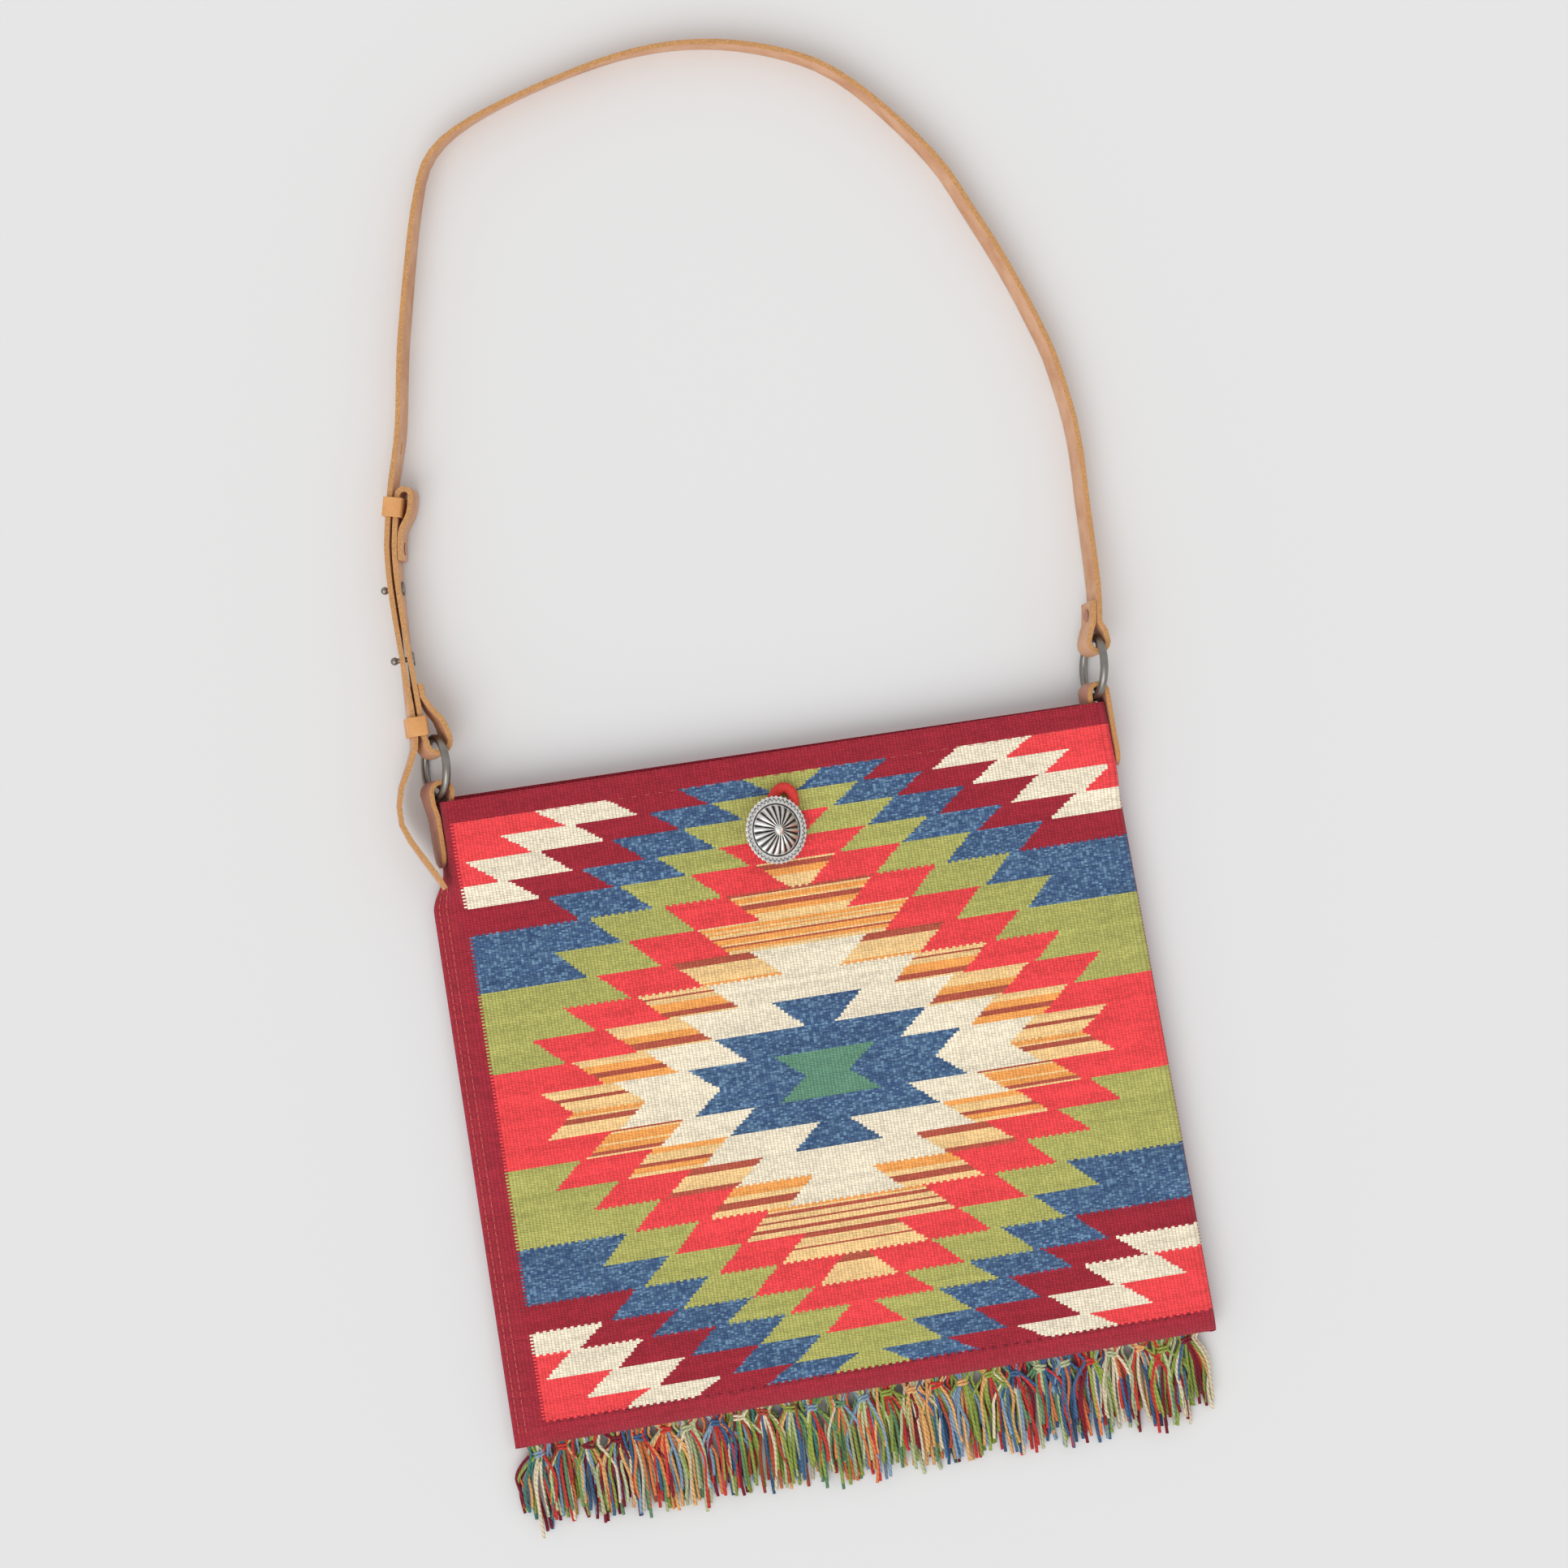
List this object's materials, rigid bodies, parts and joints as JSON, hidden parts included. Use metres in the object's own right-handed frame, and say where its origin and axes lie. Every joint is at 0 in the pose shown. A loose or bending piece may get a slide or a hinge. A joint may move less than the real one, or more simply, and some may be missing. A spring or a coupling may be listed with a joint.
{
  "type": "crossbody bag",
  "caption": "Flat woven wool crossbody bag with a stepped diamond tapestry front, yarn fringe, leather strap on metal rings and a round concho.",
  "frame": {"origin": "on the resting surface, under the middle of the back panel", "axes": "+Y from the fringe towards the mouth and strap, +Z out of the front panel, +X to the right as its front is seen"},
  "size_m": [0.3614, 0.7232, 0.0361],
  "materials": {
    "weave": "weft-faced wool tapestry, matte",
    "yarn_red": "loose wool yarn",
    "yarn_green": "loose wool yarn",
    "yarn_blue": "loose wool yarn",
    "yarn_orange": "loose wool yarn",
    "yarn_maroon": "loose wool yarn",
    "yarn_cream": "loose wool yarn",
    "yarn_teal": "loose wool yarn",
    "strap_leather": "smooth, lightly waxed",
    "tab_leather": "smooth",
    "keeper_leather": "smooth with raw edges",
    "aged_nickel": "worn",
    "aged_silver": "darkened in its recesses",
    "cord": "twisted cord"
  },
  "bodies": {
    "bag": {"front_panel": "weave", "back_panel": "weave", "tassel_01": "yarn_red", "tassel_02": "yarn_green", "tassel_03": "yarn_blue", "tassel_04": "yarn_orange", "tassel_05": "yarn_maroon", "tassel_06": "yarn_cream", "tassel_07": "yarn_green", "tassel_08": "yarn_red", "tassel_09": "yarn_blue", "tassel_10": "yarn_teal", "tassel_11": "yarn_red", "tassel_12": "yarn_green", "tassel_13": "yarn_blue", "tassel_14": "yarn_orange", "tassel_15": "yarn_maroon", "tassel_16": "yarn_cream", "tassel_17": "yarn_green", "tassel_18": "yarn_red", "tassel_19": "yarn_blue", "tassel_20": "yarn_teal", "tassel_21": "yarn_red", "tassel_22": "yarn_green", "tassel_23": "yarn_blue", "tassel_24": "yarn_orange", "tassel_25": "yarn_maroon", "tassel_26": "yarn_cream", "tassel_27": "yarn_green", "strap_long": "strap_leather", "strap_short": "strap_leather", "tab_left": "tab_leather", "tab_right": "tab_leather", "stud_ball_upper": "aged_nickel", "stud_screw_upper": "aged_nickel", "stud_ball_lower": "aged_nickel", "stud_screw_lower": "aged_nickel", "rivet_top_fold": "tab_leather", "rivet_left_ring": "tab_leather", "rivet_right_ring": "tab_leather", "closure_loop": "cord"},
    "ring_left": {"ring_left": "aged_nickel"},
    "ring_right": {"ring_right": "aged_nickel"},
    "keeper_upper": {"keeper_upper": "keeper_leather"},
    "keeper_lower": {"keeper_lower": "keeper_leather"},
    "concho": {"concho": "aged_silver"}
  },
  "joints": [
    {"name": "ring_left_spin", "type": "hinge", "parent": "bag", "child": "ring_left", "pos_m": [-0.164, 0.1761, 0.0152], "axis": [0.8869, -0.0854, -0.454], "continuous": true},
    {"name": "ring_right_spin", "type": "hinge", "parent": "bag", "child": "ring_right", "pos_m": [0.1628, 0.1761, 0.0164], "axis": [0.9551, -0.1444, -0.2588], "continuous": true},
    {"name": "keeper_upper_slide", "type": "slide", "parent": "bag", "child": "keeper_upper", "axis": [0.2375, 0.9714, 0], "range_m": [-0.002, 0.0015]},
    {"name": "keeper_lower_slide", "type": "slide", "parent": "bag", "child": "keeper_lower", "axis": [0, 1, 0], "range_m": [-0.0005, 0.003]},
    {"name": "concho_tilt", "type": "hinge", "parent": "bag", "child": "concho", "pos_m": [-0.00772, 0.121, 0.01924], "axis": [0, 1, 0], "range_deg": [-27, 2]}
  ]
}
